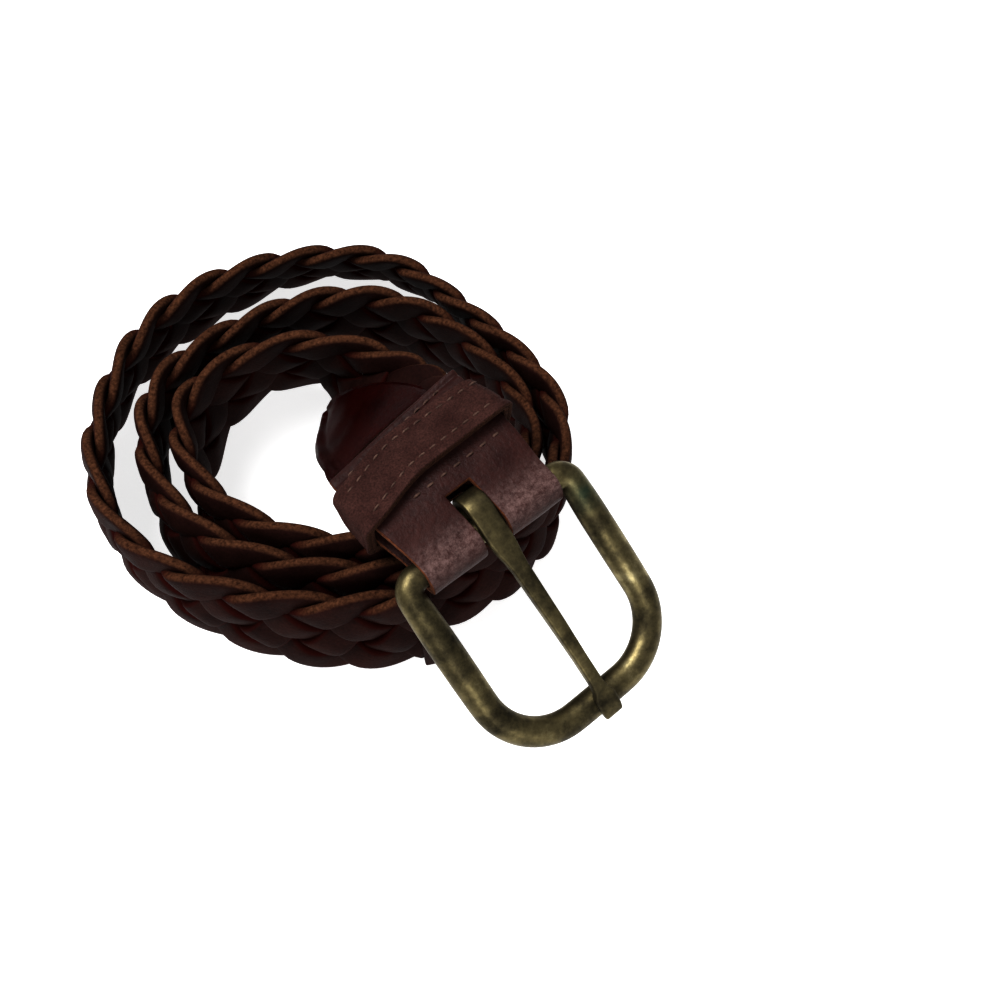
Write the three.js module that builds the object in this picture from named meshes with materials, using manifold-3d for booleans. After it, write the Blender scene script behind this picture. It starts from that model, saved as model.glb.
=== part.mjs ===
// Braided leather belt, rolled on edge into three turns, with its leather tab and brass buckle on top.
// Millimetres, +Z up, resting on z = 0. The buckle points to -Y and its bar runs along X.
import * as THREE from "three";
import { mergeVertices } from "three/addons/utils/BufferGeometryUtils.js";
import Module from "manifold-3d";

// Sizes of the strap
const STRAP_WIDTH = 35;
const BRAID_THICK = 5.2;
const PITCH = 14.5;
const STEPS_PER_PITCH = 4;
const NOTCH_DEPTH = 1.2;
const TIP_START = 5;
const TIP_THICK = 3.2;
const TIP_NARROWED = 2.2;
const TIP_CLEARANCE = 0.35;
const BINDING_LONG = 3.5;
const BINDING_WALL = 1.35;
const BRAID_END = 9.5;

// Sizes of the leather end: distances are measured back from the bar along the strap
const LEATHER = 2.0;
const LAYER_GAP = 0.3;
const TAB_END = 27.2;
const RIDGE_SLANT = 0.16;
const LOWER_END = 30;
const TAB_HALF_AT_BAR = 16.6;
const TONGUE_THICK = 1.4;
const KEEPER_FRONT = 14.2;
const KEEPER_WIDTH = 9.2;
const KEEPER_SKEW = 2.6;
const KEEPER_NARROWED = 0.7;
const KEEPER_THICK = 2.0;
const SLOT_WIDTH = 8;
const SLOT_BACK = 9;

// Sizes of the buckle, in a plane that droops from the bar
const BAR = new THREE.Vector3(7.1, -36.5, 43);
const DROOP = THREE.MathUtils.degToRad(31.9);
const BAR_RADIUS = 2.5;
const BAR_CLEARANCE = 0.4;
const ARM_X = 20.75;
const FAR_END = 43.7;
const FAR_RADIUS = 14.4;
const NEAR_RADIUS = 3.2;
const ROD_WIDE = 6.6;
const ROD_THICK = 6.0;
const PRONG_GAP = 0.3;
const PRONG_BASE = 5.3;
const PRONG_STRIP = 1.9;
const PRONG_SHANK = 3.5;
const PRONG_LOOP_BACK = 3.6;

// The rolled strap, one row per section from the hidden tip to the bar:
// top edge x, y, z, then foot edge x, y, z.
const SECTIONS = [
  [-3.8, -39.6, 35.0, -5.2, -41.0, 0.0],
  [-23.9, -27.1, 35.0, -25.9, -29.5, 0.0],
  [-40.2, -9.6, 35.0, -41.5, -11.6, 0.0],
  [-49.8, 11.1, 35.0, -51.4, 10.9, 0.0],
  [-47.4, 32.7, 34.3, -53.3, 35.9, 0.0],
  [-33.7, 50.3, 32.9, -42.5, 58.5, 0.0],
  [-15.5, 60.7, 32.2, -20.6, 72.4, 0.0],
  [4.4, 61.2, 30.7, 5.4, 75.4, 0.0],
  [23.3, 54.6, 29.0, 31.6, 69.9, 0.0],
  [37.2, 40.9, 30.0, 49.3, 51.3, 0.0],
  [41.3, 21.3, 32.4, 54.1, 24.3, 0.0],
  [43.5, -1.4, 34.3, 49.7, -2.9, 0.0],
  [39.0, -23.6, 34.9, 37.5, -26.1, 0.0],
  [19.1, -35.0, 34.9, 16.8, -37.0, 0.0],
  [-4.5, -30.9, 34.9, -6.5, -33.7, 0.0],
  [-23.1, -16.9, 34.7, -26.7, -20.3, 0.0],
  [-35.4, 2.2, 34.6, -40.6, 0.3, 0.0],
  [-37.5, 24.1, 34.6, -42.8, 25.4, 0.0],
  [-26.9, 42.0, 34.3, -29.9, 48.4, 0.0],
  [-5.2, 45.6, 33.3, -4.4, 55.8, 0.0],
  [16.4, 39.9, 33.7, 21.0, 47.9, 0.0],
  [32.3, 24.4, 34.3, 38.3, 27.4, 0.0],
  [37.4, 1.6, 34.8, 41.7, 2.1, 0.0],
  [32.8, -20.6, 35.0, 32.6, -20.2, 0.0],
  [12.7, -29.1, 35.0, 10.8, -30.2, 0.0],
  [-9.1, -20.8, 34.8, -12.2, -23.6, 0.0],
  [-24.8, -3.8, 34.7, -29.3, -5.7, 0.0],
  [-30.7, 17.9, 34.8, -33.9, 18.8, 0.0],
  [-22.0, 35.7, 34.8, -19.3, 40.5, 0.2],
  [0.5, 31.8, 38.0, 3.1, 42.1, 4.7],
  [11.4, 22.1, 39.6, 11.2, 32.3, 6.2],
  [18.9, 11.3, 40.5, 5.6, 21.3, 9.8],
  [22.6, 2.9, 42.2, -3.2, 10.0, 19.7],
  [23.2, -4.5, 44.5, -9.2, -2.0, 33.0],
  [22.7, -12.9, 46.6, -12.0, -14.0, 43.6],
  [23.1, -23.4, 46.4, -11.7, -25.1, 46.0],
  [24.6, -36.5, 43.0, -10.4, -36.5, 43.0],
];

// Natural cubic spline through the rows, its parameter the length along the strap's middle
function buildSpline(rows) {
  const knots = [0];
  for (let i = 1; i < rows.length; i++) {
    const d = [0, 1, 2].map((k) => (rows[i][k] + rows[i][k + 3] - rows[i - 1][k] - rows[i - 1][k + 3]) / 2);
    knots.push(knots[i - 1] + Math.hypot(...d));
  }
  const n = rows.length;
  const bend = rows[0].map((_, k) => {
    const m = new Array(n).fill(0);
    const c = new Array(n).fill(0);
    const v = new Array(n).fill(0);
    for (let i = 1; i < n - 1; i++) {
      const h0 = knots[i] - knots[i - 1];
      const h1 = knots[i + 1] - knots[i];
      const rise = 6 * ((rows[i + 1][k] - rows[i][k]) / h1 - (rows[i][k] - rows[i - 1][k]) / h0);
      const pivot = 2 * (h0 + h1) - h0 * c[i - 1];
      c[i] = h1 / pivot;
      v[i] = (rise - h0 * v[i - 1]) / pivot;
    }
    for (let i = n - 2; i > 0; i--) m[i] = v[i] - c[i] * m[i + 1];
    return m;
  });
  const evaluate = (s) => {
    let i = 0;
    while (i < n - 2 && s > knots[i + 1]) i++;
    const h = knots[i + 1] - knots[i];
    const a = (knots[i + 1] - s) / h;
    const b = (s - knots[i]) / h;
    return rows[i].map((_, k) => a * rows[i][k] + b * rows[i + 1][k]
      + ((a ** 3 - a) * bend[k][i] + (b ** 3 - b) * bend[k][i + 1]) * h * h / 6);
  };
  return { length: knots[n - 1], evaluate };
}
const strap = buildSpline(SECTIONS);
const BAR_AT = strap.length;

function acrossPoint(s, w) {
  const e = strap.evaluate(s);
  const top = new THREE.Vector3(e[0], e[1], e[2]);
  const foot = new THREE.Vector3(e[3], e[4], e[5]);
  const across = top.clone().sub(foot).normalize();
  const point = top.add(foot).multiplyScalar(0.5).addScaledVector(across, w);
  return { point, across };
}

// A point of the strap: s along it, w across (+ toward the top edge), c out of its inner or upper face
function at(s, w, c) {
  const here = acrossPoint(s, w);
  const step = 0.5;
  const ahead = acrossPoint(Math.min(s + step, BAR_AT), w).point;
  const behind = acrossPoint(Math.min(s + step, BAR_AT) - 2 * step, w).point;
  const normal = ahead.sub(behind).cross(here.across).normalize();
  return here.point.addScaledVector(normal, c);
}

// Solids from rings and grids of points
function signedVolume(points, faces) {
  let sum = 0;
  for (const [a, b, c] of faces) {
    sum += points[a].dot(points[b].clone().cross(points[c]));
  }
  return sum / 6;
}

function toGeometry(points, faces) {
  const flip = signedVolume(points, faces) < 0;
  const data = [];
  for (const [a, b, c] of faces) {
    for (const k of flip ? [a, c, b] : [a, b, c]) data.push(points[k].x, points[k].y, points[k].z);
  }
  const geometry = new THREE.BufferGeometry();
  geometry.setAttribute("position", new THREE.Float32BufferAttribute(data, 3));
  return mergeVertices(geometry, 1e-4);
}

function loft(rings, closed = false) {
  const count = rings[0].length;
  const points = rings.flat();
  const faces = [];
  const last = closed ? rings.length : rings.length - 1;
  for (let i = 0; i < last; i++) {
    const next = (i + 1) % rings.length;
    for (let j = 0; j < count; j++) {
      const k = (j + 1) % count;
      faces.push([i * count + j, i * count + k, next * count + k]);
      faces.push([i * count + j, next * count + k, next * count + j]);
    }
  }
  if (!closed) {
    const end = (rings.length - 1) * count;
    for (let j = 1; j < count - 1; j++) {
      faces.push([0, j + 1, j]);
      faces.push([end, end + j, end + j + 1]);
    }
  }
  return toGeometry(points, faces);
}

// A thick sheet between two grids of equal size; the first index may close on itself
function sheet(outer, inner, closed = false) {
  const rings = outer.map((row, i) => [...row, ...[...inner[i]].reverse()]);
  const count = rings[0].length;
  const half = count / 2;
  const points = rings.flat();
  const faces = [];
  const last = closed ? rings.length : rings.length - 1;
  for (let i = 0; i < last; i++) {
    const next = (i + 1) % rings.length;
    for (let j = 0; j < count; j++) {
      const k = (j + 1) % count;
      faces.push([i * count + j, i * count + k, next * count + k]);
      faces.push([i * count + j, next * count + k, next * count + j]);
    }
  }
  if (!closed) {
    const end = (rings.length - 1) * count;
    for (let j = 0; j < half - 1; j++) {
      const a = j;
      const b = j + 1;
      const c = count - 2 - j;
      const d = count - 1 - j;
      faces.push([a, c, b], [a, d, c]);
      faces.push([end + a, end + b, end + c], [end + a, end + c, end + d]);
    }
  }
  return toGeometry(points, faces);
}

// Joins and cuts
const wasm = await Module();
wasm.setup();
function toManifold(geometry) {
  return new wasm.Manifold(new wasm.Mesh({
    numProp: 3,
    vertProperties: new Float32Array(geometry.attributes.position.array),
    triVerts: new Uint32Array(geometry.index.array),
  }));
}
function fromManifold(solid) {
  const mesh = solid.getMesh();
  const geometry = new THREE.BufferGeometry();
  geometry.setAttribute("position", new THREE.Float32BufferAttribute(mesh.vertProperties, 3));
  geometry.setIndex(new THREE.Uint32BufferAttribute(mesh.triVerts, 1));
  return geometry;
}

const range = (n) => Array.from({ length: n + 1 }, (_, i) => i / n);
const mix = THREE.MathUtils.lerp;

// Braided strap: one closed band with a scalloped edge, its feet flattened on the ground
const SCALLOP = [0, 0, 1, 0.15];
const DOME = [0, -0.25, 0, -0.35];
function braidSection(s, index) {
  const half = STRAP_WIDTH / 2;
  const topHalf = half - NOTCH_DEPTH * SCALLOP[index % STEPS_PER_PITCH];
  const footHalf = half - NOTCH_DEPTH * SCALLOP[(index + 2) % STEPS_PER_PITCH];
  const toTip = s - TIP_START;
  const pinch = THREE.MathUtils.smoothstep(toTip, BINDING_LONG, BINDING_LONG + 7.5);
  const thick = mix(TIP_THICK / 2, BRAID_THICK / 2, pinch);
  const narrow = mix(TIP_NARROWED, 0, pinch);
  const dome = (k) => thick + (pinch > 0.99 ? DOME[(index + k) % STEPS_PER_PITCH] : -0.1);
  const profile = [
    [topHalf - narrow, 1.0], [topHalf - narrow - 2, thick - 0.45], [7, dome(1)], [-7, dome(3)],
    [2 - footHalf + narrow, thick - 0.45], [narrow - footHalf, 1.0],
    [narrow - footHalf, -1.0], [2 - footHalf + narrow, 0.45 - thick], [-7, -dome(0)], [7, -dome(2)],
    [topHalf - narrow - 2, 0.45 - thick], [topHalf - narrow, -1.0],
  ];
  return profile.map(([w, c]) => {
    const p = at(s, w, c);
    if (p.z < 0.4) p.z = 0;
    return p;
  });
}
function braidedStrap() {
  const from = TIP_START + 1.9;
  const to = BAR_AT - BRAID_END;
  const count = Math.round((to - from) / (PITCH / STEPS_PER_PITCH));
  return loft(range(count).map((t, i) => braidSection(mix(from, to, t), i)));
}

// Plain binding on the hidden tip: a flat leather cap with a pocket for the braid's end
function tipBinding() {
  const block = (from, to, halfWide, halfThick) => loft(range(2).map((t) => {
    const s = mix(from, to, t);
    return [[halfWide, -halfThick], [halfWide, halfThick], [-halfWide, halfThick], [-halfWide, -halfThick]]
      .map(([w, c]) => {
        const p = at(s, w, c);
        if (p.z < 0.3) p.z = 0;
        return p;
      });
  }));
  const cap = toManifold(block(TIP_START, TIP_START + BINDING_LONG, STRAP_WIDTH / 2 - 0.1, TIP_THICK / 2 + TIP_CLEARANCE + BINDING_WALL));
  const pocketWide = STRAP_WIDTH / 2 - 0.1 - NOTCH_DEPTH - TIP_CLEARANCE / 2;
  const pocket = toManifold(block(TIP_START + 1.5, TIP_START + BINDING_LONG + 1, pocketWide, TIP_THICK / 2 + TIP_CLEARANCE));
  return fromManifold(cap.subtract(pocket));
}

// Leather tab: an upper layer, a sleeve round the bar and a lower layer, slotted for the prong
const SLEEVE = BAR_RADIUS + BAR_CLEARANCE;
function tabHalf(back) {
  return mix(TAB_HALF_AT_BAR, STRAP_WIDTH / 2, THREE.MathUtils.smoothstep(back, 2, 14));
}
function tabLeather() {
  const across = range(4).map((t) => 2 * t - 1);
  const outer = [];
  const inner = [];
  const addFlat = (back, side) => {
    const row = (c) => across.map((f) => {
      const w = f * tabHalf(back);
      const slant = side > 0 ? RIDGE_SLANT * w * THREE.MathUtils.smoothstep(back, 14, 26) : 0;
      return at(BAR_AT - back - slant, w, side * c);
    });
    outer.push(row(SLEEVE + LEATHER));
    inner.push(row(SLEEVE));
  };
  for (const t of range(9)) addFlat(mix(TAB_END, 1.5, t), 1);
  const centre = (f) => at(BAR_AT, f * TAB_HALF_AT_BAR, 0);
  const up = at(BAR_AT, 0, 1).sub(at(BAR_AT, 0, 0));
  const along = acrossPoint(BAR_AT, 0).across.clone().cross(up).normalize();
  if (along.y > 0) along.negate();
  for (const t of range(12)) {
    const angle = Math.PI * (0.5 - t);
    const arm = along.clone().multiplyScalar(Math.cos(angle)).addScaledVector(up, Math.sin(angle));
    outer.push(across.map((f) => centre(f).addScaledVector(arm, SLEEVE + LEATHER)));
    inner.push(across.map((f) => centre(f).addScaledVector(arm, SLEEVE)));
  }
  for (const t of range(9)) addFlat(mix(1.5, LOWER_END, t), -1);
  const fold = toManifold(sheet(outer, inner));
  const past = 2 * (SLEEVE + LEATHER) + 2;
  const slot = new THREE.BoxGeometry(SLOT_WIDTH, SLOT_BACK + past, 2 * past);
  slot.translate(BAR.x, BAR.y + SLOT_BACK - (SLOT_BACK + past) / 2, BAR.z);
  return fromManifold(fold.subtract(toManifold(mergeVertices(slot.deleteAttribute("normal").deleteAttribute("uv")))));
}

// Tongue: the thin glossy panel sewn over the braid past the tab, cut at a slant
function tongueEnd(w) {
  if (w < 9) return mix(62, 43, (w + 15) / 24);
  return mix(43, 35, (w - 9) / 6);
}
function tonguePanel() {
  const across = range(8).map((t) => mix(-15, 15, t));
  const grid = (c) => range(7).map((t) => across.map((w) => {
    const back = mix(TAB_END + 1.3 * LAYER_GAP + RIDGE_SLANT * w, tongueEnd(w), t);
    return at(BAR_AT - back, w, c);
  }));
  const low = BRAID_THICK / 2 + LAYER_GAP;
  return sheet(grid(low + TONGUE_THICK), grid(low));
}

// Keeper loop: a closed leather ring round the tab, drawn toward the bar at its left end
// and standing a little off the tab at its right end
function keeperBack(w, t) {
  const drawn = THREE.MathUtils.smoothstep(-w, 2, 20);
  return KEEPER_FRONT - KEEPER_SKEW * drawn + (KEEPER_WIDTH - KEEPER_NARROWED * drawn) * (1 - t);
}
function keeperLoop() {
  const halfWide = STRAP_WIDTH / 2 + 0.5;
  const high = SLEEVE + LEATHER + LAYER_GAP + 0.1;
  const corner = 0.8;
  const ringPoint = (angleStep, grow, t) => {
    const quarter = Math.floor(angleStep / 5);
    const angle = (quarter * Math.PI) / 2 + ((angleStep % 5) / 4) * (Math.PI / 2);
    const sx = quarter === 0 || quarter === 3 ? 1 : -1;
    const sy = quarter < 2 ? 1 : -1;
    const lift = sy > 0 && sx > 0 ? mix(0.2, 1.6, t) : 0;
    const w = sx * (halfWide - corner) + (corner + grow) * Math.cos(angle);
    const c = sy * (high - corner) + (corner + grow) * Math.sin(angle) + lift;
    return [w, c];
  };
  const steps = Array.from({ length: 20 }, (_, i) => i);
  const grid = (grow) => steps.map((k) => range(3).map((t) => {
    const [w, c] = ringPoint(k, grow, t);
    return at(BAR_AT - keeperBack(w, t), w, c);
  }));
  return sheet(grid(KEEPER_THICK), grid(0), true);
}

// Buckle: x along the bar, b out from it in the drooping plane, c out of that plane
function fromBuckle(x, b, c) {
  return new THREE.Vector3(
    BAR.x + x,
    BAR.y - b * Math.cos(DROOP) - c * Math.sin(DROOP),
    BAR.z - b * Math.sin(DROOP) + c * Math.cos(DROOP),
  );
}

function framePath() {
  const path = [];
  const arc = (cx, cb, r, a0, a1, n, wide, thick) => {
    for (const t of range(n)) {
      const a = mix(a0, a1, t);
      const blend = typeof wide === "function" ? wide(t) : [wide, thick];
      path.push([cx + r * Math.cos(a), cb + r * Math.sin(a), a, ...blend]);
    }
  };
  const half = Math.PI / 2;
  const bar = BAR_RADIUS * 2;
  for (const x of [-12, 0, 12]) path.push([x, 0, -half, bar, bar]);
  path.push([ARM_X - NEAR_RADIUS - 0.6, 0, -half, bar, bar]);
  arc(ARM_X - NEAR_RADIUS, NEAR_RADIUS, NEAR_RADIUS, -half + 0.3, 0, 5,
    (t) => [mix(5.4, ROD_WIDE, t), mix(5.2, ROD_THICK, t)]);
  for (const b of [10, 16, 23]) path.push([ARM_X, b, 0, ROD_WIDE, ROD_THICK]);
  arc(ARM_X - FAR_RADIUS, FAR_END - FAR_RADIUS, FAR_RADIUS, 0, half, 9, ROD_WIDE, ROD_THICK);
  const right = path.slice(2);
  const left = right.map(([x, b, a, ...size]) => [-x, b, Math.PI - a, ...size]).reverse();
  return [...path, [0, FAR_END, half, 6.4, ROD_THICK], ...left.filter(([x]) => x < -0.01 && x !== -12)];
}
function buckleFrame() {
  const sides = 14;
  const rings = framePath().map(([x, b, angle, wide, thick]) => Array.from({ length: sides }, (_, k) => {
    const turn = (2 * Math.PI * (k + 0.5)) / sides;
    const out = (wide / 2) * Math.cos(turn);
    return fromBuckle(x + out * Math.cos(angle), b + out * Math.sin(angle), (thick / 2) * Math.sin(turn));
  }));
  return loft(rings, true);
}

// Prong: a flat strip in a long loop round the bar, narrowing at a shoulder, its flat tip on the far rod
function prong() {
  const loopRadius = BAR_RADIUS + PRONG_GAP + PRONG_STRIP / 2;
  const stations = [];
  for (const b of [2.6, 0]) stations.push([b, -loopRadius, -1, 0, PRONG_BASE, PRONG_STRIP]);
  for (const t of range(10)) {
    const a = mix(-0.5 * Math.PI, -1.5 * Math.PI, t);
    const b = loopRadius * Math.cos(a) - PRONG_LOOP_BACK;
    stations.push([b, loopRadius * Math.sin(a), Math.sin(a), -Math.cos(a), PRONG_BASE, PRONG_STRIP]);
  }
  const top = ROD_THICK / 2 + PRONG_GAP;
  const shank = [
    [3.0, 3.78, PRONG_BASE, 1.95], [6.2, 3.95, PRONG_BASE, 2.05], [7.8, 4.1, 4.6, 2.4], [9.0, 4.2, PRONG_SHANK, 2.7],
    [24, 4.75, PRONG_SHANK, 2.75], [38.5, top + 1.3, 3.4, 2.5], [40.8, top + 1.15, 3.8, 2.2],
    [42.2, top + 1.05, 4.6, 2.1], [45.4, top + 0.75, 4.6, 1.8], [47.0, top + 0.35, 4.2, 1.2],
  ];
  shank.forEach(([b, c, wide, thick], i) => {
    const before = i ? shank[i - 1] : [0, loopRadius];
    const after = shank[Math.min(i + 1, shank.length - 1)];
    const d = new THREE.Vector2(after[0] - before[0], after[1] - before[1]).normalize();
    stations.push([b, c, d.x, d.y, wide, thick]);
  });
  const rings = stations.map(([b, c, db, dc, wide, thick]) => {
    const ew = wide / 2;
    const et = thick / 2;
    const cut = Math.min(0.35, et * 0.45) + (wide < 4 ? 0.35 : 0);
    return [[ew, et - cut], [ew - cut, et], [cut - ew, et], [-ew, et - cut],
      [-ew, cut - et], [cut - ew, -et], [ew - cut, -et], [ew, cut - et]]
      .map(([x, n]) => fromBuckle(x, b - n * dc, c + n * db));
  });
  return loft(rings);
}

// Parts of the object
const group = new THREE.Group();
function add(name, geometry, color, roughness, metalness) {
  const mesh = new THREE.Mesh(geometry, new THREE.MeshStandardMaterial({ color, roughness, metalness }));
  mesh.name = name;
  group.add(mesh);
}
add("braided_strap", braidedStrap(), 0x4a3230, 0.6, 0);
add("tip_binding", tipBinding(), 0x4a2c28, 0.6, 0);
add("tab_leather", tabLeather(), 0x6a4440, 0.5, 0);
add("tongue_panel", tonguePanel(), 0x4c221e, 0.35, 0);
add("keeper_loop", keeperLoop(), 0x6b4a46, 0.75, 0);
add("buckle_frame", buckleFrame(), 0x8a7f55, 0.35, 1);
add("prong", prong(), 0x93885c, 0.35, 1);

export default group;
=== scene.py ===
# Braided belt: strands, leather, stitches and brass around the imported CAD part.
import math

import bpy
import numpy as np
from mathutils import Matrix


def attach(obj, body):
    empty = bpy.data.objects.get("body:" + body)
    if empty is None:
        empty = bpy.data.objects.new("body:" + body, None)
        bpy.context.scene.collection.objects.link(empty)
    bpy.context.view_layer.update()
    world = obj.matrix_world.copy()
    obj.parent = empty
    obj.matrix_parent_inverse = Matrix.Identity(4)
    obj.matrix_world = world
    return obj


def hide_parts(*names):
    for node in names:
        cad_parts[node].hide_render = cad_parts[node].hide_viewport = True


MM = 0.001
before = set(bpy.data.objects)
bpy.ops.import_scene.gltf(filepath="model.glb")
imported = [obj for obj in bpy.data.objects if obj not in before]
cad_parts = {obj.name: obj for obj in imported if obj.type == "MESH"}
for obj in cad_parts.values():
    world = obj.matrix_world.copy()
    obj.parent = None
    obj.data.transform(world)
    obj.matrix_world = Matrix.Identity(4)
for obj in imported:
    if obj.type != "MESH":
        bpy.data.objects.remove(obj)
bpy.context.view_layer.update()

# Sizes in millimetres, as in the CAD part
STRAP_WIDTH = 35.0
BRAID_THICK = 5.2
PITCH = 14.48
FIRST_NOTCH = 6.9
BRAID_END = 9.5
LEATHER = 2.0
LAYER_GAP = 0.3
TAB_END = 27.2
RIDGE_SLANT = 0.16
LOWER_END = 30.0
TAB_HALF_AT_BAR = 16.6
TONGUE_THICK = 1.4
KEEPER_FRONT = 14.2
KEEPER_WIDTH = 9.2
KEEPER_SKEW = 2.6
KEEPER_NARROWED = 0.7
KEEPER_THICK = 2.0
KEEPER_ROWS = (0.19, 0.78)
SLOT_WIDTH = 6.3
SLOT_BACK = 9.0
BAR = np.array([7.1, -36.5, 43.0])
DROOP = math.radians(31.9)
BAR_RADIUS = 2.5
BAR_CLEARANCE = 0.4
SLEEVE = BAR_RADIUS + BAR_CLEARANCE
ARM_X = 20.75
FAR_END = 43.7
FAR_RADIUS = 14.4
NEAR_RADIUS = 3.2
ROD_THICK = 6.0
FAR_ROD_WIDE = 6.4

# The rolled strap, one row per section from the hidden tip to the bar:
# top edge x, y, z, then foot edge x, y, z.
SECTIONS = np.array([
    [-3.8, -39.6, 35.0, -5.2, -41.0, 0.0],
    [-23.9, -27.1, 35.0, -25.9, -29.5, 0.0],
    [-40.2, -9.6, 35.0, -41.5, -11.6, 0.0],
    [-49.8, 11.1, 35.0, -51.4, 10.9, 0.0],
    [-47.4, 32.7, 34.3, -53.3, 35.9, 0.0],
    [-33.7, 50.3, 32.9, -42.5, 58.5, 0.0],
    [-15.5, 60.7, 32.2, -20.6, 72.4, 0.0],
    [4.4, 61.2, 30.7, 5.4, 75.4, 0.0],
    [23.3, 54.6, 29.0, 31.6, 69.9, 0.0],
    [37.2, 40.9, 30.0, 49.3, 51.3, 0.0],
    [41.3, 21.3, 32.4, 54.1, 24.3, 0.0],
    [43.5, -1.4, 34.3, 49.7, -2.9, 0.0],
    [39.0, -23.6, 34.9, 37.5, -26.1, 0.0],
    [19.1, -35.0, 34.9, 16.8, -37.0, 0.0],
    [-4.5, -30.9, 34.9, -6.5, -33.7, 0.0],
    [-23.1, -16.9, 34.7, -26.7, -20.3, 0.0],
    [-35.4, 2.2, 34.6, -40.6, 0.3, 0.0],
    [-37.5, 24.1, 34.6, -42.8, 25.4, 0.0],
    [-26.9, 42.0, 34.3, -29.9, 48.4, 0.0],
    [-5.2, 45.6, 33.3, -4.4, 55.8, 0.0],
    [16.4, 39.9, 33.7, 21.0, 47.9, 0.0],
    [32.3, 24.4, 34.3, 38.3, 27.4, 0.0],
    [37.4, 1.6, 34.8, 41.7, 2.1, 0.0],
    [32.8, -20.6, 35.0, 32.6, -20.2, 0.0],
    [12.7, -29.1, 35.0, 10.8, -30.2, 0.0],
    [-9.1, -20.8, 34.8, -12.2, -23.6, 0.0],
    [-24.8, -3.8, 34.7, -29.3, -5.7, 0.0],
    [-30.7, 17.9, 34.8, -33.9, 18.8, 0.0],
    [-22.0, 35.7, 34.8, -19.3, 40.5, 0.2],
    [0.5, 31.8, 38.0, 3.1, 42.1, 4.7],
    [11.4, 22.1, 39.6, 11.2, 32.3, 6.2],
    [18.9, 11.3, 40.5, 5.6, 21.3, 9.8],
    [22.6, 2.9, 42.2, -3.2, 10.0, 19.7],
    [23.2, -4.5, 44.5, -9.2, -2.0, 33.0],
    [22.7, -12.9, 46.6, -12.0, -14.0, 43.6],
    [23.1, -23.4, 46.4, -11.7, -25.1, 46.0],
    [24.6, -36.5, 43.0, -10.4, -36.5, 43.0],
])

# Natural cubic spline through the rows, its parameter the length along the strap's middle
MIDDLES = (SECTIONS[:, :3] + SECTIONS[:, 3:]) / 2
KNOTS = np.concatenate([[0], np.cumsum(np.linalg.norm(np.diff(MIDDLES, axis=0), axis=1))])
BAR_AT = KNOTS[-1]


def spline_bends(rows, knots):
    count = len(knots)
    bend = np.zeros_like(rows)
    sweep = np.zeros(count)
    value = np.zeros_like(rows)
    for i in range(1, count - 1):
        before = knots[i] - knots[i - 1]
        after = knots[i + 1] - knots[i]
        rise = 6 * ((rows[i + 1] - rows[i]) / after - (rows[i] - rows[i - 1]) / before)
        pivot = 2 * (before + after) - before * sweep[i - 1]
        sweep[i] = after / pivot
        value[i] = (rise - before * value[i - 1]) / pivot
    for i in range(count - 2, 0, -1):
        bend[i] = value[i] - sweep[i] * bend[i + 1]
    return bend


BENDS = spline_bends(SECTIONS, KNOTS)


def unit(v):
    return v / np.linalg.norm(v, axis=-1, keepdims=True)


def across_point(s, w):
    i = np.clip(np.searchsorted(KNOTS, s) - 1, 0, len(KNOTS) - 2)
    step = (KNOTS[i + 1] - KNOTS[i])[..., None]
    a = (KNOTS[i + 1] - s)[..., None] / step
    b = (s - KNOTS[i])[..., None] / step
    edges = a * SECTIONS[i] + b * SECTIONS[i + 1]
    edges = edges + ((a**3 - a) * BENDS[i] + (b**3 - b) * BENDS[i + 1]) * step * step / 6
    across = unit(edges[..., :3] - edges[..., 3:])
    return (edges[..., :3] + edges[..., 3:]) / 2 + across * w[..., None], across


def at(s, w, c):
    """Points of the strap in mm: s along it, w across, c out of its inner or upper face."""
    s, w, c = np.broadcast_arrays(np.asarray(s, float), np.asarray(w, float), np.asarray(c, float))
    here, across = across_point(s, w)
    ahead, _ = across_point(np.minimum(s + 0.5, BAR_AT), w)
    behind, _ = across_point(np.minimum(s + 0.5, BAR_AT) - 1.0, w)
    return here + unit(np.cross(ahead - behind, across)) * c[..., None]


def smooth(t):
    t = np.clip(t, 0, 1)
    return t * t * (3 - 2 * t)


def ridge(distance, width):
    """A soft ridge, 1 at distance 0 and fading over the width."""
    return np.exp(-((distance / width) ** 2))


def select_only(obj=None):
    for other in bpy.context.selected_objects:
        other.select_set(False)
    if obj is not None:
        obj.select_set(True)
        bpy.context.view_layer.objects.active = obj


def apply_modifier(obj, modifier):
    select_only(obj)
    bpy.ops.object.modifier_apply(modifier=modifier.name)


def face_outwards():
    """Turn the active object's faces outwards."""
    bpy.ops.object.mode_set(mode="EDIT")
    bpy.ops.mesh.select_all(action="SELECT")
    bpy.ops.mesh.normals_make_consistent(inside=False)
    bpy.ops.object.mode_set(mode="OBJECT")


def add_attribute(obj, name, values, domain="POINT"):
    layer = obj.data.attributes.new(name, "FLOAT", domain)
    layer.data.foreach_set("value", np.asarray(values, dtype=np.float32).ravel())


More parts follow.
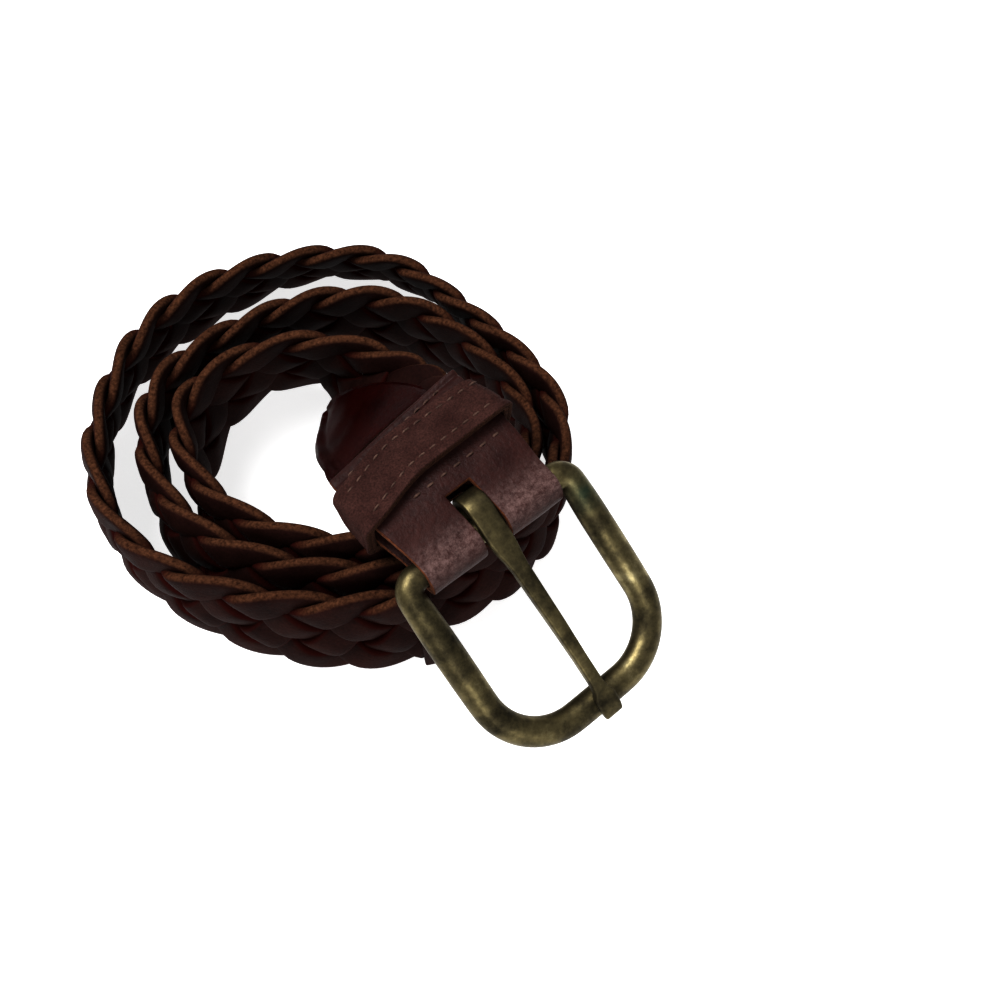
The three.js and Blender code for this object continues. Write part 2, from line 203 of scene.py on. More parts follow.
def mesh_object(name, points, faces, uv=None, edge=None, cut=None, angle=None):
    """A mesh from points and uv in mm. On a cut side edge, per point, or cut, per face, is 1."""
    mesh = bpy.data.meshes.new(name)
    mesh.from_pydata((np.asarray(points) * MM).tolist(), [], faces)
    obj = bpy.data.objects.new(name, mesh)
    bpy.context.scene.collection.objects.link(obj)
    if uv is not None:
        layer = mesh.uv_layers.new(name="UVMap")
        corners = np.zeros(len(mesh.loops), dtype=np.int32)
        mesh.loops.foreach_get("vertex_index", corners)
        layer.data.foreach_set("uv", np.asarray(uv, dtype=np.float32)[corners].ravel())
    if edge is not None:
        add_attribute(obj, "cut_side", edge)
    if cut is not None:
        add_attribute(obj, "cut_side", cut, "FACE")
    select_only(obj)
    if angle is None:
        bpy.ops.object.shade_smooth()
    else:
        bpy.ops.object.shade_smooth_by_angle(angle=math.radians(angle))
    return obj


def ring_faces(rings, count, closed=False):
    """Faces of a tube of rings with count points each, closed on itself or capped at both ends."""
    faces = []
    last = rings if closed else rings - 1
    for i in range(last):
        j = (i + 1) % rings
        for k in range(count):
            m = (k + 1) % count
            faces.append((i * count + k, i * count + m, j * count + m, j * count + k))
    if not closed:
        faces.append(tuple(range(count - 1, -1, -1)))
        faces.append(tuple((rings - 1) * count + k for k in range(count)))
    return faces


# Braid: five flat strips, each crossing over one and under one
STRAND_WIDTH = 8.5
STRAND_THICK = 2.7
SWING = (STRAP_WIDTH - STRAND_WIDTH) / 2
PERIOD = 5 * PITCH
LIFT = 1.42
WANDER = 0.3
BRAID_STEP = 1.1
BRAID_START = 7.0
TIP_REACH = 5.5
BAR_REACH = 6.0
TOP_RIM_FROM = 11.5

# Turn of a strip in degrees from its crest at the top edge, and its face there: 1 inner, -1 outer
CROSSINGS = [
    (-36, 1), (36, -1), (72, 1), (108, -1), (144, 1),
    (216, -1), (252, 1), (288, -1), (324, 1),
]

# How far the crests have slipped along the strap, in mm, from turn to turn
SLIP_AT = [20, 50, 108, 240, 350, 410, 610, 640]
SLIP = [-7.4, -7.4, -5.5, -5.5, -6.5, -6.5, -8.9, -8.9]


def over_under(phase):
    turn = (np.degrees(phase) + 36) % 360 - 36
    value = np.zeros_like(turn)
    for (a, from_side), (b, to_side) in zip(CROSSINGS, CROSSINGS[1:]):
        inside = (turn >= a) & (turn <= b)
        ease = (1 - np.cos(np.pi * (turn - a) / (b - a))) / 2
        value = np.where(inside, from_side + (to_side - from_side) * ease, value)
    return value


def strand_profile():
    """Round a strip's section: half width u, half thickness v, and the share of its cut side."""
    hw, ht = STRAND_WIDTH / 2, STRAND_THICK / 2
    side = [
        (hw, -0.3, 1), (hw, 0.3, 1), (hw - 0.18, 0.62, 0.7), (hw - 0.7, 0.82, 0), (hw * 0.66, 0.95, 0),
        (hw * 0.33, 1.02, 0), (-hw * 0.33, 1.02, 0), (-hw * 0.66, 0.95, 0), (0.7 - hw, 0.82, 0),
        (0.18 - hw, 0.62, 0.7),
    ]
    ring = side + [(-u, -v, cut) for u, v, cut in side]
    return np.array([(u, v * ht, cut) for u, v, cut in ring])


def braid():
    profile = strand_profile()
    count = len(profile)
    points, faces, uvs, edges, rims = [], [], [], [], []
    for strand in range(5):
        s = np.arange(BRAID_START, BAR_AT - BRAID_END, BRAID_STEP)
        slip = np.interp(s, SLIP_AT, SLIP)
        phase = 2 * np.pi * ((s - slip - FIRST_NOTCH - PITCH / 2) / PERIOD + strand / 5)
        rate = 2 * np.pi / PERIOD
        w = SWING * np.cos(phase) + WANDER * np.sin(s / 17.0 + 2.1 * strand)
        slope = -SWING * rate * np.sin(phase)
        c = LIFT * over_under(phase)
        along = np.hypot(1, slope)
        side = np.stack([-slope / along, 1 / along], -1)
        u = profile[None, :, 0]
        v = profile[None, :, 1]
        ps = s[:, None] + u * side[:, None, 0]
        pw = w[:, None] + u * side[:, None, 1]
        ring = at(np.clip(ps, TIP_REACH, BAR_AT - BAR_REACH), pw, c[:, None] + v)
        ring[..., 2] = np.maximum(ring[..., 2], 0.0)
        base = sum(len(p) for p in points)
        length = np.concatenate([[0], np.cumsum(np.hypot(np.diff(s), np.diff(w)))])
        points.append(ring.reshape(-1, 3))
        faces += [tuple(base + k for k in f) for f in ring_faces(len(s), count)]
        uv = np.broadcast_arrays(length[:, None] + 131.0 * strand, u + 40.0 * strand)
        uvs.append(np.stack(uv, -1).reshape(-1, 2))
        edges.append(np.broadcast_to(profile[None, :, 2], ring.shape[:2]).ravel())
        # Top rim mask: 1 at the strips' top edge, where cut sides keep their lit colour; elsewhere their
        # cut sides get a darker painted shade.
        rims.append(smooth((pw - TOP_RIM_FROM) / 4.0).ravel())
    uv, edge = np.concatenate(uvs), np.concatenate(edges)
    obj = mesh_object("braid_strands", np.concatenate(points), faces, uv, edge)
    add_attribute(obj, "unshaded_top_rim", np.concatenate(rims))
    return obj


braid_strands = braid()


# Sheets of leather: two faces of a grid, the kept cells walled in, then softened at the edges
def walled_sheet(name, outer, inner, keep=None, soften=0.3, worn=None):
    rows, columns = outer.shape[:2]
    if keep is None:
        keep = np.ones((rows - 1, columns - 1), bool)
    points = np.concatenate([outer.reshape(-1, 3), inner.reshape(-1, 3)])
    below = rows * columns
    faces, cut = [], []

    def kept(i, j):
        return 0 <= i < rows - 1 and 0 <= j < columns - 1 and keep[i, j]

    def wall(a, b):
        faces.append((a, b, b + below, a + below))
        cut.append(1.0)

    for i in range(rows - 1):
        for j in range(columns - 1):
            if not keep[i, j]:
                continue
            a, b = i * columns + j, i * columns + j + 1
            c, d = b + columns, a + columns
            faces += [(a, d, c, b), (a + below, b + below, c + below, d + below)]
            cut += [0.0, 0.0]
            if not kept(i - 1, j):
                wall(a, b)
            if not kept(i + 1, j):
                wall(c, d)
            if not kept(i, j - 1):
                wall(d, a)
            if not kept(i, j + 1):
                wall(b, c)
    obj = mesh_object(name, points, faces, cut=cut)
    # On the tab the worn share is partly real rubbing and partly a painted highlight along the fold's
    # crest.
    if worn is not None:
        add_attribute(obj, "worn", np.concatenate([worn.ravel(), np.zeros(worn.size)]))
    return soft_edged(obj, soften)


def soft_edged(obj, soften, angle=50, segments=2):
    bpy.ops.object.mode_set(mode="EDIT")
    bpy.ops.mesh.select_all(action="SELECT")
    bpy.ops.mesh.delete_loose()
    bpy.ops.object.mode_set(mode="OBJECT")
    face_outwards()
    bevel = obj.modifiers.new("softened edges", "BEVEL")
    bevel.width = soften * MM
    bevel.segments = segments
    bevel.limit_method = "ANGLE"
    bevel.angle_limit = math.radians(angle)
    apply_modifier(obj, bevel)
    bpy.ops.object.shade_smooth_by_angle(angle=math.radians(60))
    return obj


def ripple(p, size, depth):
    """A small uneven height for hand-worn leather, from places in mm."""
    x, y, z = (p[..., k] / size for k in range(3))
    waves = np.sin(x + 1.7 * z) * np.sin(1.3 * y - 0.6 * x)
    return depth * (waves + 0.5 * np.sin(2.3 * y + 1.9 * z + 0.7))


# Tab: the upper layer, the fold round the bar and the lower layer, slotted for the prong
TAB_RIPPLE = (4.0, 0.14)
FOLD_START = 1.5
SLOT_COLUMNS = slice(12, 18)
SEAM_FROM_END = 2.0
SEAM_HEIGHT = 0.4


def tab_half(back):
    return TAB_HALF_AT_BAR + (STRAP_WIDTH / 2 - TAB_HALF_AT_BAR) * smooth((np.asarray(back) - 2) / 12)


def tab_along(back, w):
    """Place along the strap: the tab's end slants, and its front lies square to the bar."""
    return BAR_AT - back - RIDGE_SLANT * w * smooth((back - 14) / 12)


def tab_columns(half):
    side = np.linspace(SLOT_WIDTH / 2, half, 13)
    return np.concatenate([-side[::-1], np.linspace(-SLOT_WIDTH / 2, SLOT_WIDTH / 2, 7)[1:-1], side])


def tab():
    outer, inner, slotted, worn = [], [], [], []
    to_slot = np.linspace(TAB_END, SLOT_BACK, 48)
    beside_slot = np.linspace(SLOT_BACK, FOLD_START, 14)[1:]
    for back in np.concatenate([to_slot, beside_slot]):
        w = tab_columns(tab_half(back))
        from_end = TAB_END - back
        top = SLEEVE + LEATHER
        top += SEAM_HEIGHT * (ridge(from_end - 0.8, 0.6) - ridge(from_end - SEAM_FROM_END, 0.45))
        s = tab_along(back, w)
        face = at(s, w, top)
        outer.append(at(s, w, top + ripple(face, *TAB_RIPPLE)))
        inner.append(at(s, w, SLEEVE))
        slotted.append(back <= SLOT_BACK + 0.01)
        # Worn share near the bar: partly real rubbing, partly a painted highlight on the upper layer
        # towards the crest.
        worn.append(np.full(len(w), 0.9 * ridge(back, 4.0)))
    w = tab_columns(TAB_HALF_AT_BAR)
    centre = at(BAR_AT, w, 0.0)
    up = at(BAR_AT, 0.0, 1.0) - at(BAR_AT, 0.0, 0.0)
    along = unit(np.cross(across_point(np.array([BAR_AT]), np.array([0.0]))[1][0], up))
    along = along if along[1] < 0 else -along
    for turn in np.linspace(90, -90, 30)[1:-1]:
        arm = along * math.cos(math.radians(turn)) + up * math.sin(math.radians(turn))
        face = centre + arm * (SLEEVE + LEATHER)
        outer.append(face + arm * ripple(face, *TAB_RIPPLE)[:, None])
        inner.append(centre + arm * SLEEVE)
        slotted.append(True)
        # Over the fold the worn share peaks at the top: real rubbing and a painted highlight where light
        # falls on the crest.
        worn.append(np.full(len(w), max(0.0, math.sin(math.radians(turn))) ** 2))
    beside_slot = np.linspace(FOLD_START, SLOT_BACK, 8)
    to_end = np.linspace(SLOT_BACK, LOWER_END, 24)[1:]
    for back in np.concatenate([beside_slot, to_end]):
        w = tab_columns(tab_half(back))
        outer.append(at(BAR_AT - back, w, -SLEEVE - LEATHER))
        inner.append(at(BAR_AT - back, w, -SLEEVE))
        slotted.append(back <= SLOT_BACK + 0.01)
        worn.append(np.zeros(len(w)))
    keep = np.ones((len(outer) - 1, len(w) - 1), bool)
    for i in range(len(outer) - 1):
        if slotted[i] and slotted[i + 1]:
            keep[i, SLOT_COLUMNS] = False
    return walled_sheet("tab_fold", np.array(outer), np.array(inner), keep, 0.35, np.array(worn))


tab_fold = tab()


# Tongue: the glossy panel over the end of the braid, with a rolled rim at its left
TONGUE_RIPPLE = (3.5, 0.1)
TONGUE_ACROSS = [-16.6, -14, -9, -4, 0, 3, 6, 8.2, 9.6, 10.6]
TONGUE_REACH = [58.5, 60.5, 61.5, 60.5, 58, 54.5, 49, 43, 38, 34.5]


def tongue_end(w):
    return np.interp(w, TONGUE_ACROSS, TONGUE_REACH)


def tongue():
    low = BRAID_THICK / 2 + LAYER_GAP
    left, right = TONGUE_ACROSS[0], TONGUE_ACROSS[-1]
    w = np.linspace(left, right, 61)[None, :]
    t = np.linspace(0, 1, 49)[:, None]
    start = TAB_END + LAYER_GAP + RIDGE_SLANT * w
    back = start + t * (tongue_end(w) - start)
    to_end = (1 - t) * (tongue_end(w) - start)
    from_left = w - left
    crown = 1 - (from_left / (right - left) * 2 - 1) ** 2
    top = 0 * t + low + TONGUE_THICK + 0.7 * crown
    top -= 0.5 * ridge(right - w, 0.9) + 0.35 * ridge(to_end, 0.8)
    top += 0.7 * ridge(from_left - 1.3, 0.9) * smooth(to_end / 4) - 0.4 * ridge(from_left - 3.0, 0.7)
    top += 0.3 * ridge(to_end - 1.4, 0.7) - 0.2 * ridge(to_end - 2.8, 0.6)
    face = at(BAR_AT - back, w, top)
    outer = at(BAR_AT - back, w, top + ripple(face, *TONGUE_RIPPLE))
    inner = at(BAR_AT - back, w, np.full(back.shape, low))
    return walled_sheet("tongue_glossy", outer, inner, None, 0.3)


tongue_glossy = tongue()


# Keeper: a strip of two plies bent round the strap and the tab, standing off at its front right corner
KEEPER_HALF = STRAP_WIDTH / 2 + 0.5
KEEPER_HIGH = SLEEVE + LEATHER + LAYER_GAP + 0.1
KEEPER_CORNER = 0.8
KEEPER_RIPPLE = (3.0, 0.07)


def keeper_along(w, t):
    """The keeper is drawn toward the bar at its left end, and narrower there."""
    drawn = smooth((-w - 2) / 18)
    front = BAR_AT - KEEPER_FRONT + KEEPER_SKEW * drawn
    return front - (KEEPER_WIDTH - KEEPER_NARROWED * drawn) * (1 - t)


def keeper_lift(t):
    return 0.2 + 1.4 * t


def keeper_round():
    """Round the strap: centre of the bend w and c, direction of the arm, and the share of the lift."""
    reach, rise = KEEPER_HALF - KEEPER_CORNER, KEEPER_HIGH - KEEPER_CORNER
    stops = []
    for quarter, (sx, sy) in enumerate([(1, 1), (-1, 1), (-1, -1), (1, -1)]):
        for turn in np.linspace(0, 90, 9):
            angle = math.radians(90 * quarter + turn)
            stops.append((sx * reach, sy * rise, angle, 1.0 if quarter == 0 else 0.0))
        before = stops[-1]
        nx, ny = [(-1, 1), (-1, -1), (1, -1), (1, 1)][quarter]
        steps = 40 if quarter in (0, 2) else 8
        for k in range(1, steps):
            part = k / steps
            share = before[3] + (float(quarter == 3) - before[3]) * part
            stops.append((before[0] + (nx * reach - before[0]) * part,
                          before[1] + (ny * rise - before[1]) * part, before[2], share))
    return np.array(stops)


def keeper_section():
    """Across the strip: place t from back 0 to front 1, height off the inner face, and cut side."""
    t = np.linspace(0.02, 0.98, 40)
    top = KEEPER_THICK - 0.22 * sum(ridge(t - row, 0.03) for row in KEEPER_ROWS)
    top = top + 0.28 * smooth((t - 0.86) / 0.05) + 0.1 * smooth((0.12 - t) / 0.05)
    crown = [(a, b, 0.0) for a, b in zip(t, top)]
    front = [
        (0.995, 2.0, 0.7), (1.0, 1.75, 1), (1.0, 1.2, 1), (0.985, 1.05, 1),
        (1.0, 0.9, 1), (1.0, 0.25, 1), (0.99, 0.0, 1),
    ]
    inside = [(0.9, 0.0, 0), (0.5, 0.0, 0), (0.1, 0.0, 0)]
    back = [
        (0.01, 0.0, 1), (0.0, 0.25, 1), (0.0, 0.85, 1), (0.012, 1.0, 1),
        (0.0, 1.15, 1), (0.0, 1.75, 1), (0.005, 1.95, 0.7),
    ]
    return np.array(crown + front + inside + back)


def keeper_point(stop, t, grow):
    w = stop[..., 0] + (KEEPER_CORNER + grow) * np.cos(stop[..., 2])
    w = w - 1.6 * (1 - t) * smooth((w - 12) / 6) * stop[..., 3]
    c = stop[..., 1] + (KEEPER_CORNER + grow) * np.sin(stop[..., 2]) + stop[..., 3] * keeper_lift(t)
    return at(keeper_along(w, t), w, c)


def keeper():
    stops, section = keeper_round(), keeper_section()
    t, grow = section[None, :, 0], section[None, :, 1]
    ring = keeper_point(stops[:, None, :], t, grow)
    worn = np.where(grow > 1.5, 1, 0) * ripple(ring, *KEEPER_RIPPLE)
    ring = keeper_point(stops[:, None, :], t, grow + worn)
    faces = ring_faces(len(stops), len(section), closed=True)
    edge = np.broadcast_to(section[None, :, 2], ring.shape[:2]).ravel()
    obj = mesh_object("keeper_ring", ring.reshape(-1, 3), faces, edge=edge, angle=50)
    face_outwards()
    return obj


keeper_ring = keeper()


# Stitches: short rounded threads sunk at both ends
def stitches(name, runs, thick=0.24, sides=6):
    points, faces = [], []
    swell = np.array([0.45, 0.9, 1.0, 0.9, 0.45])
    for run in runs:
        run = np.asarray(run)
        ahead = unit(np.gradient(run, axis=0))
        side = unit(np.cross(ahead, np.array([0.3, 0.2, 1.0])))
        up = np.cross(side, ahead)
        base = len(points)
        for k in range(len(run)):
            for m in range(sides):
                a = 2 * math.pi * m / sides
                points.append(run[k] + thick * swell[k] * (side[k] * math.cos(a) + up[k] * math.sin(a)))
        faces += [tuple(base + v for v in f) for f in ring_faces(len(run), sides)]
    return mesh_object(name, np.array(points), faces)


ARCH = np.array([-0.28, 0.06, 0.12, 0.06, -0.28])
STITCH_LONG = 2.0


def keeper_row(t, start, gap=2.75):
    """Stitches along the keeper at t, each gap from the next."""
    runs = []
    reach = KEEPER_HALF - KEEPER_CORNER
    w = start
    while w < reach - 1.0:
        ws = np.linspace(w, w + STITCH_LONG, 5)
        share = np.clip((ws + reach) / (2 * reach), 0, 1)
        c = KEEPER_HIGH + KEEPER_THICK - 0.2 + share * keeper_lift(t) + ARCH
        runs.append(at(keeper_along(ws, t), ws, c))
        w += gap
    return runs


def tab_row(back, start, stop, gap, sunk=0.0):
    """Stitches across the tab, each gap from the next, sunk into a groove."""
    runs = []
    w = start
    while w < stop:
        ws = np.linspace(w, w + STITCH_LONG, 5)
        runs.append(at(tab_along(back, ws), ws, SLEEVE + LEATHER + ARCH * 1.3 - sunk))
        w += gap
    return runs


back_row = keeper_row(KEEPER_ROWS[0], -17.0)
front_row = keeper_row(KEEPER_ROWS[1], -16.0)
keeper_stitches = stitches("keeper_stitches", back_row + front_row)
slot_row = tab_row(12.2, -8.0, 13.0, 3.4)
seam_row = tab_row(TAB_END - SEAM_FROM_END, -14.0, 11.0, 2.7, 0.3)
tab_stitches = stitches("tab_stitches", slot_row + seam_row, 0.28)


# Binding that closes the hidden tip of the strap: place along the strap, and how far it is drawn in
BINDING_ROWS = [(5.0, 0.9), (5.2, 0.35), (5.7, 0.0), (8.2, 0.0), (8.45, 0.2), (8.5, 0.6)]
BINDING_HALF_THICK = 3.3
BINDING_CORNER = 1.2


def binding():
    rings = []
    for s, shrink in BINDING_ROWS:
        reach = STRAP_WIDTH / 2 - 0.1 - shrink - BINDING_CORNER
        rise = BINDING_HALF_THICK - shrink - BINDING_CORNER
        ring = []
        for quarter, (side_w, side_c) in enumerate([(1, 1), (-1, 1), (-1, -1), (1, -1)]):
            for part in np.linspace(0, 90, 5):
                turn = math.radians(part + 90 * quarter)
                w = side_w * reach + BINDING_CORNER * math.cos(turn)
                c = side_c * rise + BINDING_CORNER * math.sin(turn)
                ring.append(at(s, w, c))
        rings.append(ring)
    points = np.array(rings).reshape(-1, 3)
    points[:, 2] = np.maximum(points[:, 2], 0.0)
    return mesh_object("tip_wrap", points, ring_faces(len(rings), 20), angle=50)


tip_wrap = binding()


# Buckle, modelled flat with its bar on the X axis and its far end toward -Y, then turned to its droop
def lay_on_bar(obj):
    obj.rotation_euler = (DROOP, 0, 0)
    obj.location = BAR * MM
    select_only(obj)
    bpy.ops.object.transform_apply(location=True, rotation=True, scale=True)


def push(step, wide=1.0, thick=1.0, centre=(0, 0, 0), flat=None):
    """Extrude the selected section by a step in mm and scale it about its new centre."""
    bpy.ops.mesh.extrude_edges_move(TRANSFORM_OT_translate={"value": tuple(v * MM for v in step)})
    if wide != 1.0 or thick != 1.0:
        size = (wide, 1, thick) if flat is None else flat
        bpy.ops.transform.resize(value=size, center_override=tuple(v * MM for v in centre))


DOUBLES_WITHIN = 0.02
MIRROR_WITHIN = 0.05
FILED_EDGE = 0.45


def merge_doubles():
    """In edit mode: join points that meet and turn the faces outwards."""
    bpy.ops.mesh.select_all(action="SELECT")
    bpy.ops.mesh.remove_doubles(threshold=DOUBLES_WITHIN * MM)
    bpy.ops.mesh.normals_make_consistent(inside=False)


# Frame arm: distance from the bar, and how much wider and thicker than the row before
ARM_ROWS = [
    (23, 1.03, 1.0), (16, 1.0, 1.0), (10, 0.99, 1.0),
    (6.2, 0.95, 0.97), (NEAR_RADIUS, 0.95, 0.95),
]
BAR_NECK = 0.8


def brass_frame():
    select_only()
    far = (0, -FAR_END * MM, 0)
    bpy.ops.mesh.primitive_circle_add(vertices=28, radius=ROD_THICK / 2 * MM,
                                      rotation=(0, math.pi / 2, 0), location=far)
    obj = bpy.context.active_object
    obj.name = "brass_frame"
    bpy.ops.object.transform_apply(location=True, rotation=True, scale=True)
    bpy.ops.object.mode_set(mode="EDIT")
    bpy.ops.mesh.select_all(action="SELECT")
    bpy.ops.transform.resize(value=(1, FAR_ROD_WIDE / ROD_THICK, 1), center_override=far)
    corner = ARM_X - FAR_RADIUS
    reach = FAR_END - FAR_RADIUS
    push((corner, 0, 0))
    bend = (corner * MM, -reach * MM, 0)
    bpy.ops.mesh.spin(steps=14, angle=-math.pi / 2, center=bend, axis=(0, 0, 1))
    for b, wide, thick in ARM_ROWS:
        push((0, reach - b, 0), wide, thick, (ARM_X, -b, 0))
        reach = b
    inner = ARM_X - NEAR_RADIUS
    bend = (inner * MM, -NEAR_RADIUS * MM, 0)
    bpy.ops.mesh.spin(steps=7, angle=-math.pi / 2, center=bend, axis=(0, 0, 1))
    push((-BAR_NECK, 0, 0), 0.9, 0.94, (inner - BAR_NECK, 0, 0), (1, 0.9, 0.94))
    push((-(inner - BAR_NECK), 0, 0))
    bpy.ops.object.mode_set(mode="OBJECT")
    mirror = obj.modifiers.new("other half", "MIRROR")
    mirror.merge_threshold = MIRROR_WITHIN * MM
    apply_modifier(obj, mirror)
    fine = obj.modifiers.new("smooth", "SUBSURF")
    fine.levels = 1
    fine.render_levels = 1
    apply_modifier(obj, fine)
    bpy.ops.object.mode_set(mode="EDIT")
    merge_doubles()
    bpy.ops.object.mode_set(mode="OBJECT")
    bpy.ops.object.shade_smooth()
    lay_on_bar(obj)
    return obj


# Prong: distance from the bar, height over it, width and thickness
PRONG_LOOP_BACK = 3.6
PRONG_LOOP_FRONT = 2.6
PRONG_WIDTH = 5.3
PRONG_THICK = 1.9
PRONG_CLEARANCE = 0.3
SHANK = [
    (1.5, 3.77, 5.3, 1.9), (3.0, 3.78, 5.3, 1.95), (5.4, 3.95, 4.9, 2.1), (7.6, 4.15, 4.1, 2.3),
    (10, 4.25, 3.6, 2.5), (18, 4.5, 3.3, 2.6), (24, 4.75, 3.1, 2.6), (32, 4.68, 2.8, 2.5),
    (38.5, 4.6, 2.8, 2.5), (40.6, 4.45, 3.3, 2.2), (41.8, 4.35, 4.6, 2.1), (42.4, 4.3, 4.9, 2.0),
    (45.4, 4.05, 4.7, 1.7), (46.7, 3.75, 4.4, 1.3), (47.2, 3.65, 4.0, 0.9),
]


def brass_prong():
    loop = BAR_RADIUS + PRONG_CLEARANCE + PRONG_THICK / 2
    select_only()
    bpy.ops.mesh.primitive_plane_add(size=MM, location=(0, 0, loop * MM), rotation=(math.pi / 2, 0, 0))
    obj = bpy.context.active_object
    obj.name = "brass_prong"
    obj.scale = (PRONG_WIDTH, PRONG_THICK, 1)
    bpy.ops.object.transform_apply(location=True, rotation=True, scale=True)
    bpy.ops.object.mode_set(mode="EDIT")
    bpy.ops.mesh.select_all(action="SELECT")
    bpy.ops.mesh.delete(type="ONLY_FACE")
    bpy.ops.mesh.select_all(action="SELECT")
    b, c, wide, thick = 0.0, loop, PRONG_WIDTH, PRONG_THICK
    for nb, nc, nw, nt in SHANK:
        push((0, b - nb, nc - c), nw / wide, nt / thick, (0, -nb, nc))
        b, c, wide, thick = nb, nc, nw, nt
    bpy.ops.mesh.edge_face_add()
    bpy.ops.mesh.select_all(action="DESELECT")
    bpy.ops.object.mode_set(mode="OBJECT")
    for vertex in obj.data.vertices:
        vertex.select = abs(vertex.co.y) < 1e-6
    for edge in obj.data.edges:
        edge.select = all(obj.data.vertices[v].select for v in edge.vertices)
    bpy.ops.object.mode_set(mode="EDIT")
    push((0, PRONG_LOOP_BACK, 0))
    bpy.ops.mesh.spin(steps=16, angle=math.pi, center=(0, PRONG_LOOP_BACK * MM, 0), axis=(1, 0, 0))
    push((0, -PRONG_LOOP_BACK - PRONG_LOOP_FRONT, 0))
    bpy.ops.mesh.edge_face_add()
    merge_doubles()
    bpy.ops.object.mode_set(mode="OBJECT")
    bevel = obj.modifiers.new("filed edges", "BEVEL")
    bevel.width = FILED_EDGE * MM
    bevel.segments = 3
    bevel.limit_method = "ANGLE"
    bevel.angle_limit = math.radians(40)
    apply_modifier(obj, bevel)
    bpy.ops.object.shade_smooth_by_angle(angle=math.radians(50))
    lay_on_bar(obj)
    return obj


brass_frame_piece = brass_frame()
brass_prong_piece = brass_prong()


# Materials
def material(name):
    mat = bpy.data.materials.new(name)
    mat.use_nodes = True
    tree = mat.node_tree
    return mat, tree, tree.nodes["Principled BSDF"]


def node(tree, kind, **values):
    made = tree.nodes.new(kind)
    for key, value in values.items():
        if hasattr(made, key) and key not in made.inputs:
            setattr(made, key, value)
    for key, value in values.items():
        for socket in made.inputs:
            if socket.name == key and socket.enabled:
                socket.default_value = value
    return made


def socket(made, name, outputs=False):
    """The live socket of that name: a mix node keeps several of one name."""
    for each in made.outputs if outputs else made.inputs:
        if each.name == name and each.enabled:
            return each
    raise KeyError(name)


def ramp(tree, source, stops):
    made = tree.nodes.new("ShaderNodeValToRGB")
    tree.links.new(source, made.inputs["Fac"])
    bar = made.color_ramp
    while len(bar.elements) < len(stops):
        bar.elements.new(0.5)
    for element, (place, color) in zip(bar.elements, stops):
        element.position = place
        element.color = (*color, 1) if len(color) == 3 else color
    return made


